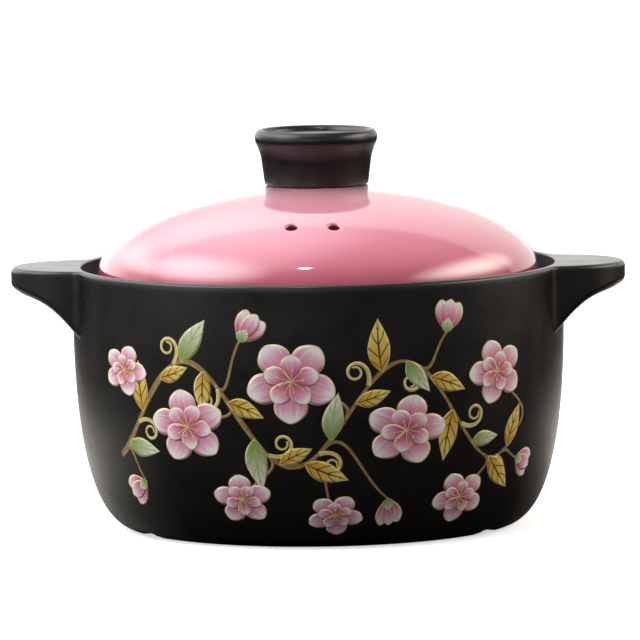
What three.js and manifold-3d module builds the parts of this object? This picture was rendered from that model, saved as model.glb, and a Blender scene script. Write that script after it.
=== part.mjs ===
// A lidded clay cooking pot: a wheel-thrown bowl with a gallery inside its rim, two lug handles
// luted to its sides, a domed lid that drops into the gallery, and a hollow knob luted on the lid.
// Millimetres, +Z up. The origin is the centre of the foot, on the surface that the pot stands on.
// The handles lie along X, and the steam holes of the lid face -Y, the front.

import * as THREE from 'three';
import { mergeVertices } from 'three/addons/utils/BufferGeometryUtils.js';
import Module from 'manifold-3d';

const wasm = await Module();
wasm.setup();

// Driving dimensions of the bowl
const BOWL_RADIUS = 115.4;
const BOWL_HEIGHT = 123;
const WALL = 7;
const FLOOR = 7;
const COLLAR_HEIGHT = 23; // upright stretch of the wall below the rim
const BELLY_PULL = 82.3; // how far the upright wall reaches down into the curve of the side
const BASE_PULL = 13.5; // how far the flat of the foot reaches out into the curve of the side
const FOOT_RADIUS = 86;
const FOOT_WIDTH = 12;
const FOOT_RECESS = 3;
const NOTCH_COUNT = 3;
const NOTCH_WIDTH = 22;
const NOTCH_DEPTH = 2.6;
const NOTCH_SLOPE = 3; // run of each sloping side of a notch

// Rim and gallery, the stepped seat that the lid drops into
const RIM_WIDTH = 4.4;
const RIM_ROUND = 2;
const GALLERY_DEPTH = 7;
const GALLERY_DRAFT = 3.5; // how far the gallery wall leans in from rim to seat
const LEDGE_WIDTH = 12.5;
const LEDGE_THICKNESS = 6;
const LEDGE_HAUNCH = 8; // height of the slope that carries the ledge back to the wall

// Lid
const LID_CLEARANCE = 4.1; // from the lid's edge to the foot of the gallery wall
const LID_RISE = 42.6; // from the lid's widest line to the top of its dome
const LID_EDGE_ROUND = 2.2;
const LID_SEAT_WIDTH = 6;
const LID_THICKNESS = 6;
const STEAM_HOLE_DIAMETER = 4.9;
const STEAM_HOLE_LIP = 1.4;
const STEAM_HOLE_SPACING = 19.3;
const STEAM_HOLE_RADIUS = 77; // distance of the two holes from the lid's axis
const CROWN_VENT_DIAMETER = 3; // pinhole that lets the air out of the hollow knob in firing

// Knob
const KNOB_BASE_RADIUS = 24.2;
const KNOB_WAIST_RADIUS = 25.9;
const KNOB_WAIST_HEIGHT = 14;
const KNOB_BEAD_RADIUS = 28.7;
const KNOB_HEIGHT = 25.9;
const KNOB_FLARE_HOLLOW = 0.5; // how far the flare between the waist and the bead is drawn in
const KNOB_BEAD_DROP = 3.9; // from the top of the knob to the widest line of its bead
const KNOB_BEAD_TURN = 0.37; // how far the bead turns under before the flare, in quarter turns
const KNOB_CREST_WIDTH = 4.8; // from the widest line of the bead in to the edge of the dish
const KNOB_DISH_DEPTH = 2.4;
const KNOB_WALL = 5;
const KNOB_SEAT_MARGIN = 0.6;

// Handles
const HANDLE_REACH = 28.6; // beyond the side of the bowl
const HANDLE_WIDTH = 64;
const HANDLE_TIP_PULL = 18; // fullness of the rounded end, half across
const HANDLE_SIDE_PULL = 15.2; // how far the parallel sides run before they turn in
const HANDLE_TIP_DEPTH = 11;
const HANDLE_TIP_ROUND = 3.2;
const HANDLE_ROOT_DEPTH = 31.5;
const HANDLE_ROOT_SINK = 4.4; // how far inside the bowl's side the underside's curve ends
const HANDLE_EDGE_ROUND = 1.8;
const HANDLE_TIP_SWEEP = 8.6; // pull of the underside's curve from the tip, measured along X
const HANDLE_TIP_FALL = 0.36; // how steeply the underside falls away from the tip
const HANDLE_ROOT_SWEEP = 19.3; // pull of the underside's curve from the root, measured along Z
const HANDLE_ROOT_LEAN = 0.76; // how far the underside leans out for each unit it rises

// Fits
const SEAT_GAP = 0.3; // between the lid and its ledge
const LUTING_GAP = 0.3; // at the joints where a piece is stuck on with slip

// Facets
const ROUND_SEGMENTS = 56;
const KNOB_SEGMENTS = 40;
const HOLE_SEGMENTS = 16;
const SIDE_STEPS = 12;
const DOME_STEPS = 12;
const ARC_STEPS = 4;
const CUT_OVERSHOOT = 5; // how far a cutter runs past what it cuts

// Sizes that follow from the driving dimensions
const seatHeight = BOWL_HEIGHT - GALLERY_DEPTH;
const rimInnerRadius = BOWL_RADIUS - RIM_WIDTH;
const galleryFootRadius = rimInnerRadius - GALLERY_DRAFT;
const ledgeNoseRadius = galleryFootRadius - LEDGE_WIDTH;
const footInnerRadius = FOOT_RADIUS - FOOT_WIDTH;
const floorTop = FOOT_RECESS + FLOOR;
const lidRadius = galleryFootRadius - LID_CLEARANCE;
const lidBottom = seatHeight + SEAT_GAP;
const lidEquator = lidBottom + LID_EDGE_ROUND;
const knobSeatRadius = KNOB_BASE_RADIUS + KNOB_SEAT_MARGIN;
const knobSeatHeight = domeHeight(knobSeatRadius);
const knobBottom = knobSeatHeight + LUTING_GAP;

// Height of the lid's outer surface at a distance from its axis: half an ellipse
function domeHeight(radius) {
  return lidEquator + LID_RISE * Math.sqrt(1 - (radius / lidRadius) ** 2);
}

// Points of a circular arc in the (radius, height) plane, angles in quarter turns from outward
function arc(centreRadius, centreHeight, radius, fromQuarter, toQuarter, steps = ARC_STEPS) {
  const points = [];
  for (let i = 0; i <= steps; i += 1) {
    const angle = (fromQuarter + ((toQuarter - fromQuarter) * i) / steps) * (Math.PI / 2);
    points.push(
      new THREE.Vector2(
        centreRadius + radius * Math.cos(angle),
        centreHeight + radius * Math.sin(angle),
      ),
    );
  }
  return points;
}

function point(radius, height) {
  return new THREE.Vector2(radius, height);
}

// A solid of revolution about Z from a closed or axis-to-axis (radius, height) profile
function revolve(profile, segments) {
  const geometry = new THREE.LatheGeometry(profile, segments);
  geometry.rotateX(Math.PI / 2);
  return geometry;
}

// A closed geometry as a solid that can be joined and cut
function toSolid(geometry) {
  const bare = geometry.clone();
  bare.deleteAttribute('normal');
  bare.deleteAttribute('uv');
  const merged = mergeVertices(bare);
  const corners = merged.index.array;
  const triangles = [];
  for (let i = 0; i < corners.length; i += 3) {
    const [a, b, c] = corners.slice(i, i + 3);
    if (a !== b && b !== c && c !== a) {
      triangles.push(a, b, c);
    }
  }
  const mesh = new wasm.Mesh({
    numProp: 3,
    vertProperties: new Float32Array(merged.attributes.position.array),
    triVerts: new Uint32Array(triangles),
  });
  return new wasm.Manifold(mesh);
}

// The finished solid as a geometry to draw
function toGeometry(solid) {
  const mesh = solid.getMesh();
  const geometry = new THREE.BufferGeometry();
  geometry.setAttribute('position', new THREE.BufferAttribute(mesh.vertProperties, 3));
  geometry.setIndex(new THREE.BufferAttribute(mesh.triVerts, 1));
  geometry.computeVertexNormals();
  return geometry;
}

// The side of the bowl from the edge of the foot to the upright collar
function bowlSide() {
  const collarStart = BOWL_HEIGHT - COLLAR_HEIGHT;
  return new THREE.CubicBezierCurve(
    point(FOOT_RADIUS, 0),
    point(FOOT_RADIUS + BASE_PULL, 0),
    point(BOWL_RADIUS, collarStart - BELLY_PULL),
    point(BOWL_RADIUS, collarStart),
  );
}

// The inside of the bowl keeps the wall's thickness, from the floor up to the slope under the ledge
function bowlInside(haunchBottom) {
  const side = bowlSide();
  const points = [];
  for (let i = 0; i <= SIDE_STEPS; i += 1) {
    const outer = side.getPoint(i / SIDE_STEPS);
    const along = side.getTangent(i / SIDE_STEPS);
    const inner = point(outer.x - along.y * WALL, outer.y + along.x * WALL);
    if (inner.y > floorTop && inner.y < haunchBottom) {
      points.push(inner);
    }
  }
  return points;
}

// One wedge-sided cutter that lies across the foot ring
function footNotch(angle) {
  const half = NOTCH_WIDTH / 2;
  const run = NOTCH_SLOPE / NOTCH_DEPTH;
  const section = new THREE.Shape([
    point(-half - run * CUT_OVERSHOOT, -CUT_OVERSHOOT),
    point(half + run * CUT_OVERSHOOT, -CUT_OVERSHOOT),
    point(half - NOTCH_SLOPE, NOTCH_DEPTH),
    point(NOTCH_SLOPE - half, NOTCH_DEPTH),
  ]);
  const start = footInnerRadius - FOOT_RECESS - CUT_OVERSHOOT;
  const end = FOOT_RADIUS + BASE_PULL + CUT_OVERSHOOT;
  const geometry = new THREE.ExtrudeGeometry(section, { depth: end - start, bevelEnabled: false });
  const up = new THREE.Vector3(0, 0, 1);
  const outward = new THREE.Vector3(Math.cos(angle), Math.sin(angle), 0);
  const across = new THREE.Vector3().crossVectors(up, outward);
  const frame = new THREE.Matrix4().makeBasis(across, up, outward);
  geometry.translate(0, 0, start);
  geometry.applyMatrix4(frame);
  return geometry;
}

function bowlGeometry() {
  const rimRound = Math.min(RIM_ROUND, RIM_WIDTH / 2);
  const noseRound = LEDGE_THICKNESS / 2;
  const noseCentre = ledgeNoseRadius + noseRound;
  const ledgeBottom = seatHeight - LEDGE_THICKNESS;
  const haunchBottom = ledgeBottom - LEDGE_HAUNCH;
  const profile = [
    point(0, FOOT_RECESS),
    point(footInnerRadius - FOOT_RECESS, FOOT_RECESS),
    point(footInnerRadius, 0),
    ...bowlSide().getPoints(SIDE_STEPS),
    ...arc(BOWL_RADIUS - rimRound, BOWL_HEIGHT - rimRound, rimRound, 0, 1),
    ...arc(rimInnerRadius + rimRound, BOWL_HEIGHT - rimRound, rimRound, 1, 2),
    point(galleryFootRadius, seatHeight),
    ...arc(noseCentre, seatHeight - noseRound, noseRound, 1, 3, 2 * ARC_STEPS),
    point(BOWL_RADIUS - WALL, haunchBottom),
    ...bowlInside(haunchBottom).reverse(),
    point(0, floorTop),
  ];
  let bowl = toSolid(revolve(profile, ROUND_SEGMENTS));
  for (let i = 0; i < NOTCH_COUNT; i += 1) {
    const angle = Math.PI / 2 + (i * 2 * Math.PI) / NOTCH_COUNT;
    bowl = bowl.subtract(toSolid(footNotch(angle)));
  }
  return toGeometry(bowl);
}

// The space of the bowl and its luting gap, which the handles are cut back from
function bowlEnvelope() {
  const side = bowlSide().getPoints(SIDE_STEPS);
  const grown = side.map((p) => point(p.x + LUTING_GAP, p.y));
  const top = BOWL_HEIGHT + CUT_OVERSHOOT;
  const profile = [point(0, 0), ...grown, point(BOWL_RADIUS + LUTING_GAP, top), point(0, top)];
  return revolve(profile, ROUND_SEGMENTS);
}

// The handle from above: parallel sides that turn into a full rounded end, with softened edges
function handlePlan() {
  const half = HANDLE_WIDTH / 2;
  const root = BOWL_RADIUS - WALL;
  const tip = BOWL_RADIUS + HANDLE_REACH;
  const turn = BOWL_RADIUS + HANDLE_SIDE_PULL;
  const outline = new THREE.Shape();
  outline.moveTo(root, -half);
  outline.bezierCurveTo(turn, -half, tip, -HANDLE_TIP_PULL, tip, 0);
  outline.bezierCurveTo(tip, HANDLE_TIP_PULL, turn, half, root, half);
  outline.closePath();
  const bottom = BOWL_HEIGHT - HANDLE_ROOT_DEPTH - CUT_OVERSHOOT;
  const geometry = new THREE.ExtrudeGeometry(outline, {
    depth: BOWL_HEIGHT - bottom - 2 * HANDLE_EDGE_ROUND,
    bevelThickness: HANDLE_EDGE_ROUND,
    bevelSize: HANDLE_EDGE_ROUND,
    bevelOffset: -HANDLE_EDGE_ROUND,
    bevelSegments: ARC_STEPS,
    curveSegments: SIDE_STEPS,
  });
  geometry.translate(0, 0, bottom + HANDLE_EDGE_ROUND);
  return geometry;
}

// The handle from the side: flat top, blunt tip, and an underside that sweeps down to the bowl
function handleSide() {
  const root = BOWL_RADIUS - WALL;
  const tip = BOWL_RADIUS + HANDLE_REACH;
  const top = BOWL_HEIGHT + CUT_OVERSHOOT;
  const tipBottom = BOWL_HEIGHT - HANDLE_TIP_DEPTH;
  const rootBottom = BOWL_HEIGHT - HANDLE_ROOT_DEPTH;
  const sweepStart = BOWL_RADIUS - HANDLE_ROOT_SINK;
  const sweepEnd = tip - HANDLE_TIP_ROUND;
  const outline = new THREE.Shape();
  outline.moveTo(root, top);
  outline.lineTo(root, rootBottom);
  outline.lineTo(sweepStart, rootBottom);
  outline.bezierCurveTo(
    sweepStart + HANDLE_ROOT_LEAN * HANDLE_ROOT_SWEEP,
    rootBottom + HANDLE_ROOT_SWEEP,
    sweepEnd - HANDLE_TIP_SWEEP,
    tipBottom - HANDLE_TIP_FALL * HANDLE_TIP_SWEEP,
    sweepEnd,
    tipBottom,
  );
  outline.quadraticCurveTo(tip, tipBottom + HANDLE_TIP_ROUND / 2, tip, tipBottom + HANDLE_TIP_ROUND);
  outline.lineTo(tip + CUT_OVERSHOOT, tipBottom + HANDLE_TIP_ROUND);
  outline.lineTo(tip + CUT_OVERSHOOT, top);
  outline.closePath();
  const width = HANDLE_WIDTH + 2 * CUT_OVERSHOOT;
  const geometry = new THREE.ExtrudeGeometry(outline, {
    depth: width,
    bevelEnabled: false,
    curveSegments: SIDE_STEPS,
  });
  geometry.rotateX(Math.PI / 2);
  geometry.translate(0, width / 2, 0);
  return geometry;
}

function handleGeometry() {
  const block = toSolid(handlePlan()).intersect(toSolid(handleSide()));
  return toGeometry(block.subtract(toSolid(bowlEnvelope())));
}

// A drill for one steam hole, square to the dome, with a flare that softens the hole's outer edge
function steamHole(side) {
  const x = (side * STEAM_HOLE_SPACING) / 2;
  const y = -Math.sqrt(STEAM_HOLE_RADIUS ** 2 - x ** 2);
  const z = domeHeight(STEAM_HOLE_RADIUS);
  const rise = (z - lidEquator) / LID_RISE ** 2;
  const normal = new THREE.Vector3(x / lidRadius ** 2, y / lidRadius ** 2, rise).normalize();
  const radius = STEAM_HOLE_DIAMETER / 2;
  const lip = radius + STEAM_HOLE_LIP;
  const depth = LID_THICKNESS + LID_SEAT_WIDTH + CUT_OVERSHOOT;
  const profile = [
    point(0, -depth),
    point(radius, -depth),
    point(radius, -STEAM_HOLE_LIP),
    point(lip, 0),
    point(lip, CUT_OVERSHOOT),
    point(0, CUT_OVERSHOOT),
  ];
  const geometry = revolve(profile, HOLE_SEGMENTS);
  const turn = new THREE.Quaternion().setFromUnitVectors(new THREE.Vector3(0, 0, 1), normal);
  geometry.applyQuaternion(turn);
  geometry.translate(x, y, z);
  return geometry;
}

// A drill for the vent in the crown, hidden by the knob
function crownVent() {
  const length = LID_THICKNESS + 2 * CUT_OVERSHOOT;
  const radius = CROWN_VENT_DIAMETER / 2;
  const geometry = new THREE.CylinderGeometry(radius, radius, length, HOLE_SEGMENTS);
  geometry.rotateX(Math.PI / 2);
  geometry.translate(0, 0, knobSeatHeight - LID_THICKNESS / 2);
  return geometry;
}

function lidGeometry() {
  const seatInner = lidRadius - LID_SEAT_WIDTH;
  const innerRise = knobSeatHeight - LID_THICKNESS - lidBottom;
  const seatAngle = Math.acos(knobSeatRadius / lidRadius);
  const outside = [];
  const inside = [];
  for (let i = 0; i <= DOME_STEPS; i += 1) {
    const share = i / DOME_STEPS;
    const outer = seatAngle * share;
    const inner = (Math.PI / 2) * (1 - share);
    outside.push(point(lidRadius * Math.cos(outer), lidEquator + LID_RISE * Math.sin(outer)));
    inside.push(point(seatInner * Math.cos(inner), lidBottom + innerRise * Math.sin(inner)));
  }
  inside[0].x = 0;
  const edge = arc(lidRadius - LID_EDGE_ROUND, lidEquator, LID_EDGE_ROUND, -1, 0);
  const profile = [...inside, ...edge, ...outside, point(0, knobSeatHeight)];
  let lid = toSolid(revolve(profile, ROUND_SEGMENTS));
  for (const side of [-1, 1]) {
    lid = lid.subtract(toSolid(steamHole(side)));
  }
  return toGeometry(lid.subtract(toSolid(crownVent())));
}

function knobGeometry() {
  const top = knobBottom + KNOB_HEIGHT;
  const waist = knobBottom + KNOB_WAIST_HEIGHT;
  const bead = top - KNOB_BEAD_DROP;
  const dishRadius = KNOB_BEAD_RADIUS - KNOB_CREST_WIDTH;
  const dish = top - KNOB_DISH_DEPTH;
  const ceiling = dish - KNOB_WALL;
  const crest = new THREE.EllipseCurve(
    KNOB_BEAD_RADIUS - KNOB_CREST_WIDTH / 2,
    bead,
    KNOB_CREST_WIDTH / 2,
    KNOB_BEAD_DROP,
    -KNOB_BEAD_TURN * (Math.PI / 2),
    Math.PI,
  );
  const flareTop = crest.getPoint(0);
  const flareMiddle = point(
    (KNOB_WAIST_RADIUS + flareTop.x) / 2 - KNOB_FLARE_HOLLOW,
    (waist + flareTop.y) / 2,
  );
  const flare = new THREE.QuadraticBezierCurve(
    point(KNOB_WAIST_RADIUS, waist),
    flareMiddle,
    flareTop,
  );
  const profile = [
    point(0, ceiling),
    point(KNOB_BASE_RADIUS - KNOB_WALL, ceiling),
    point(KNOB_BASE_RADIUS - KNOB_WALL, knobBottom),
    point(KNOB_BASE_RADIUS, knobBottom),
    ...flare.getPoints(ARC_STEPS).slice(0, -1),
    ...crest.getPoints(2 * ARC_STEPS),
    point(dishRadius, dish),
    point(0, dish),
  ];
  return revolve(profile, KNOB_SEGMENTS);
}

function blackGlaze() {
  return new THREE.MeshStandardMaterial({ color: 0x231f1e, roughness: 0.4, metalness: 0 });
}

function pinkGlaze() {
  return new THREE.MeshStandardMaterial({ color: 0xe18291, roughness: 0.12, metalness: 0 });
}

function piece(name, geometry, material) {
  const mesh = new THREE.Mesh(geometry, material);
  mesh.name = name;
  return mesh;
}

const pot = new THREE.Group();
pot.add(piece('pot_body', bowlGeometry(), blackGlaze()));
pot.add(piece('right_handle', handleGeometry(), blackGlaze()));
const leftHandle = piece('left_handle', handleGeometry(), blackGlaze());
leftHandle.rotation.z = Math.PI;
pot.add(leftHandle);

const cover = new THREE.Group();
cover.add(piece('lid', lidGeometry(), pinkGlaze()));
cover.add(piece('knob', knobGeometry(), blackGlaze()));

const donabe = new THREE.Group();
donabe.add(pot, cover);

export default donabe;
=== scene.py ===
# %% [markdown]
# A lidded clay pot, dressed for the camera
#
# The pot is fired stoneware: a thrown bowl in satin black glaze, two lug handles stuck to its sides, a
# domed lid in glossy pink glaze that drops into a step inside the rim, and a hollow black knob. The packed
# CAD model says where each piece is and how the lid lifts. Here each piece gets the smooth, softly
# rounded surface that wet clay has when it leaves the potter's sponge, and then its glaze.

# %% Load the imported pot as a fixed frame
from functools import partial

import bmesh
import bpy
import numpy as np
from mathutils import Matrix, Vector


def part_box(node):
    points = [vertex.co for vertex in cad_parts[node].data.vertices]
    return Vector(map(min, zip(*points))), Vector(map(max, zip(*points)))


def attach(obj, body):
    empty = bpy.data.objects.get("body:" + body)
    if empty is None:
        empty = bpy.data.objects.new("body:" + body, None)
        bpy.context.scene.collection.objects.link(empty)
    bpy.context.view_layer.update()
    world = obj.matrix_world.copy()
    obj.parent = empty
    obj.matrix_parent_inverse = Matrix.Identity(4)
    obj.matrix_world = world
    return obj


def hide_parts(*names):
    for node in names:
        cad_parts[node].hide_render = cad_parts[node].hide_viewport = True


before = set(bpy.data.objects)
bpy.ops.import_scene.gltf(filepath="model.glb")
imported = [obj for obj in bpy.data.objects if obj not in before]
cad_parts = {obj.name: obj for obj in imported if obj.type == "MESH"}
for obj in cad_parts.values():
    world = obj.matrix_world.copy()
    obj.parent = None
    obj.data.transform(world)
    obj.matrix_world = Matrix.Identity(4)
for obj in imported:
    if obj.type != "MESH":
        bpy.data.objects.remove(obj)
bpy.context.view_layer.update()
MM = 0.001
node_boxes = {name: np.array(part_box(name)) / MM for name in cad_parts}
for name, corners in node_boxes.items():
    print(name, "low", corners[0].round(1), "high", corners[1].round(1), "mm")

# %% [markdown]
# From a grid of points to a mesh
#
# Every piece below is a surface: a function of two parameters, worked out on a grid of points as whole
# arrays. Neighbouring points are joined into four-sided faces, and one helper puts points and faces into a
# mesh. A grid can close on itself, as a turned pot does. Where grids share points, the doubles are welded.

# %% Helpers that turn grids into mesh objects
WELD = 1e-6


def grid_faces(rows, columns, wrap_rows=False, wrap_columns=False):
    """Corner numbers of the four-sided faces between neighbouring points of a rows by columns grid."""
    index = np.arange(rows * columns).reshape(rows, columns)
    index = np.vstack([index, index[:1]]) if wrap_rows else index
    index = np.hstack([index, index[:, :1]]) if wrap_columns else index
    return np.stack([index[:-1, :-1], index[:-1, 1:], index[1:, 1:], index[1:, :-1]], -1)


def join(grids):
    """Several pairs of points and faces as one: the corner numbers of each move up past those before it."""
    points = [grid_points.reshape(-1, 3) for grid_points, _ in grids]
    starts = np.cumsum([0] + [len(part) for part in points])
    faces = [part.reshape(-1, 4) + start for (_, part), start in zip(grids, starts)]
    return np.vstack(points), np.vstack(faces)


def mesh_object(name, points, faces, material, uv=None, weld=False):
    """An object at the origin from points in millimetres and four-sided faces, with smooth shading."""
    points = np.asarray(points, float).reshape(-1, 3) * MM
    faces = np.asarray(faces).reshape(-1, 4)
    mesh = bpy.data.meshes.new(name)
    mesh.vertices.add(len(points))
    mesh.vertices.foreach_set("co", points.ravel())
    mesh.loops.add(faces.size)
    mesh.loops.foreach_set("vertex_index", faces.ravel())
    mesh.polygons.add(len(faces))
    mesh.polygons.foreach_set("loop_start", np.arange(0, faces.size, 4))
    if uv is not None:
        layer = mesh.uv_layers.new(name="UVMap")
        layer.data.foreach_set("uv", np.asarray(uv).reshape(-1, 2)[faces.ravel()].ravel())
    mesh.update(calc_edges=True)
    if weld:
        weld_doubles(mesh)
    mesh.shade_smooth()
    mesh.materials.append(material)
    piece = bpy.data.objects.new(name, mesh)
    bpy.context.scene.collection.objects.link(piece)
    print(name, len(mesh.vertices), "points", len(mesh.polygons), "faces")
    return piece


def mark_points(piece, name, values):
    """Store one number per point on a mesh, for a material to read."""
    attribute = piece.data.attributes.new(name, "FLOAT", "POINT")
    attribute.data.foreach_set("value", np.asarray(values, np.float32).ravel())


def read_points(piece):
    """The points of a mesh in millimetres."""
    spots = np.empty(3 * len(piece.data.vertices), np.float32)
    piece.data.vertices.foreach_get("co", spots)
    return spots.reshape(-1, 3) / MM


def weld_doubles(mesh):
    """Join points that lie on each other, and drop faces that have shrunk to nothing."""
    work = bmesh.new()
    work.from_mesh(mesh)
    bmesh.ops.remove_doubles(work, verts=work.verts, dist=WELD)
    bmesh.ops.dissolve_degenerate(work, edges=work.edges, dist=WELD)
    work.to_mesh(mesh)
    work.free()


# %% [markdown]
# Profiles
#
# A potter draws a pot as half of its outline. These helpers draw lines, arcs and curves in that half
# plane, distance from the axis first and height second. A wet sponge then takes off every sharp edge,
# which is what makes fired clay catch the light in soft lines.

# %% Curves of a profile, and the sponge that softens it
FINE_STEP = 0.2


def bezier(start, pull_start, pull_end, end, count=60):
    """Cubic curve: the four points weighted by the cubic Bernstein shares of t, for t from 0 to 1."""
    t = np.linspace(0, 1, count)[:, None]
    shares = [(1 - t) ** 3, 3 * (1 - t) ** 2 * t, 3 * (1 - t) * t**2, t**3]
    return sum(share * np.array(p, float) for share, p in zip(shares, (start, pull_start, pull_end, end)))


def arc(centre, radii, from_quarter, to_quarter, count=16):
    """Points of an ellipse's arc, its angle counted in quarter turns from straight outwards."""
    angle = np.linspace(from_quarter, to_quarter, count) * np.pi / 2
    radii = np.broadcast_to(radii, 2)
    return np.stack([centre[0] + radii[0] * np.cos(angle), centre[1] + radii[1] * np.sin(angle)], 1)


def sponge(profile, softness, count):
    """Soften a profile: average it along its length with a bell curve of the given width in millimetres,
    then keep count points, closer together where it bends."""
    length = np.r_[0, np.cumsum(np.hypot(*np.diff(profile, axis=0).T))]
    even = np.linspace(0, length[-1], int(length[-1] / FINE_STEP) + 1)
    fine = np.stack([np.interp(even, length, profile[:, k]) for k in (0, 1)])
    reach = int(4 * softness / FINE_STEP)
    bell = np.exp(-0.5 * (np.arange(-reach, reach + 1) * FINE_STEP / softness) ** 2)
    padded = np.pad(fine, ((0, 0), (reach, reach)), mode="reflect", reflect_type="odd")
    soft = np.stack([np.convolve(row, bell / bell.sum(), "valid") for row in padded])
    heading = np.unwrap(np.arctan2(*np.gradient(soft, axis=1)))
    crowding = FINE_STEP / 6 + np.abs(np.gradient(heading))
    share = np.r_[0, np.cumsum((crowding[1:] + crowding[:-1]) / 2)]
    at = np.interp(np.linspace(0, share[-1], count), share, even)
    return np.stack([np.interp(at, even, row) for row in soft], 1)


def revolve(profile, angles):
    """Carry a profile round the axis: x = r sin(a), y = -r cos(a), z = height, so a = 0 is the front."""
    radius = profile[:, :1]
    height = np.broadcast_to(profile[:, 1:], (len(profile), len(angles)))
    return np.stack([radius * np.sin(angles), -radius * np.cos(angles), height], -1)


def headings(path):
    """Unit vectors along a path, from the differences of neighbouring points."""
    along = np.gradient(path, axis=0)
    return along / np.hypot(*along.T)[:, None]


def whole_turn(count):
    """Evenly spaced angles of a whole turn."""
    return np.linspace(0, 2 * np.pi, count, endpoint=False)


# %% [markdown]
# Colours and nodes
#
# Colours are written as the sRGB values a colour picker shows, and one function turns them into the linear
# values that shaders reckon with. One small function adds any shader node, sets its options and wires its
# inputs, so that each glaze below reads as a list of what it is made of.

# %% Helpers for materials


def linear(hex_colour):
    """sRGB hex to linear light: c / 12.92 below 0.04045, else ((c + 0.055) / 1.055) to the power 2.4."""
    srgb = np.array([int(hex_colour[i : i + 2], 16) / 255 for i in (1, 3, 5)])
    light = np.where(srgb <= 0.04045, srgb / 12.92, ((srgb + 0.055) / 1.055) ** 2.4)
    return (*light.tolist(), 1.0)


def set_inputs(node, inputs):
    """Set each named input of a node to a value, or wire it from a socket."""
    for key, value in inputs.items():
        if isinstance(value, bpy.types.NodeSocket):
            node.id_data.links.new(value, node.inputs[key])
        else:
            node.inputs[key].default_value = value


def add_node(tree, kind, inputs=None, stops=(), output=None, **settings):
    """Add a shader node of the kind, with its settings, its inputs and, for a colour ramp, its stops as pairs
    of position and hex colour. Gives back the output of that name, or else the first one in use."""
    node = tree.nodes.new("ShaderNode" + kind)
    for key, value in settings.items():
        setattr(node, key, value)
    set_inputs(node, inputs or {})
    for number, (position, colour) in enumerate(stops):
        elements = node.color_ramp.elements
        element = elements[number] if number < 2 else elements.new(position)
        element.position = position
        element.color = linear(colour)
    return node.outputs[output] if output else next(socket for socket in node.outputs if socket.enabled)


def new_material(name):
    """An empty node material, the function that adds nodes to it, and its shader, ready for inputs."""
    material = bpy.data.materials.new(name)
    material.use_nodes = True
    tree = material.node_tree
    return material, partial(add_node, tree), tree.nodes["Principled BSDF"]


def per_metre(size_mm):
    """Texture scale at which one feature of the pattern is about size_mm across."""
    return 1 / (size_mm * MM)


# %% [markdown]
# Satin black glaze
#
# The bowl, handles and knob wear an iron-black glaze that fires to a silky surface, neither dull nor shiny.
# It mirrors a studio lamp as a soft glow, its black leans to warm brown where it is thin, and a close look
# finds a fine pebbled skin. The foot and the ledge under the lid are wiped bare before firing, or the pot
# would stick to the kiln shelf and to its own lid, and the glaze left on the wall above the ledge is so thin
# that it fires matt. The bowl's mesh says where, in an attribute called dry: 0.5 is matt and 1 is bare clay.

# %% Satin black stoneware glaze
MOTTLE_MM = 14
SKIN_MM, SKIN_DEPTH_MM = 1.6, 0.05


def satin_black_glaze():
    """Iron-black glaze over clay: mottled near-black, silky gloss, pebbled skin, matt or bare where dry."""
    material, add, shader = new_material("satin_black_stoneware_glaze")
    place = add("TexCoord", output="Object")
    mottle = add("TexNoise", {"Vector": place, "Scale": per_metre(MOTTLE_MM), "Detail": 3.0})
    skin = add("TexNoise", {"Vector": place, "Scale": per_metre(SKIN_MM), "Detail": 2.0})
    dry = add("Attribute", attribute_name="dry", output="Fac")
    bare = add("MapRange", {"Value": dry, "From Min": 0.5})
    matt = add("MapRange", {"Value": dry, "From Max": 0.5})
    black = add("ValToRGB", {"Fac": mottle}, ((0.3, "#0c0a09"), (0.7, "#151110")))
    clay = add("ValToRGB", {"Fac": skin}, ((0.3, "#54463c"), (0.7, "#6b5a4d")))
    colour = add("Mix", {"Factor": bare, "A": black, "B": clay}, data_type="RGBA")
    silk_range = {"Value": mottle, "From Min": 0.3, "From Max": 0.7, "To Min": 0.26, "To Max": 0.32}
    silk = add("MapRange", silk_range)
    rough = add("Math", {0: silk, 1: matt}, operation="MAXIMUM")
    pebble = add("Bump", {"Height": skin, "Strength": 0.06, "Distance": SKIN_DEPTH_MM * MM})
    set_inputs(shader, {"Base Color": colour, "Roughness": rough, "Normal": pebble, "IOR": 1.56})
    return material


black_glaze = satin_black_glaze()
print("made", black_glaze.name)

# %% [markdown]
# Glossy pink glaze
#
# The lid wears a smooth rose-pink glaze, fired to a mirror. It is milky and pale on the crown and a deeper
# rose above the edge: partly the glaze thinning and pooling as it runs while it melts, and partly painted
# light, paler where the light from above falls brightest and deeper where the edge lies in shade. The steam
# holes are painted a dark rose, painted shade inside them, and the mesh marks them in an attribute. Much of
# what the eye sees is the white studio in the reflection, which a clear coat over the tint gives. The ring
# that rests in the pot is wiped bare so that it can't glue itself down in the kiln.

# %% Glossy pink glaze
POUR_MM, POUR_UNEVEN = 30, 0.12
RIPPLE_MM, RIPPLE_DEPTH_MM = 22, 0.3
SEAT_BARE_MM = 0.3


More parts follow.
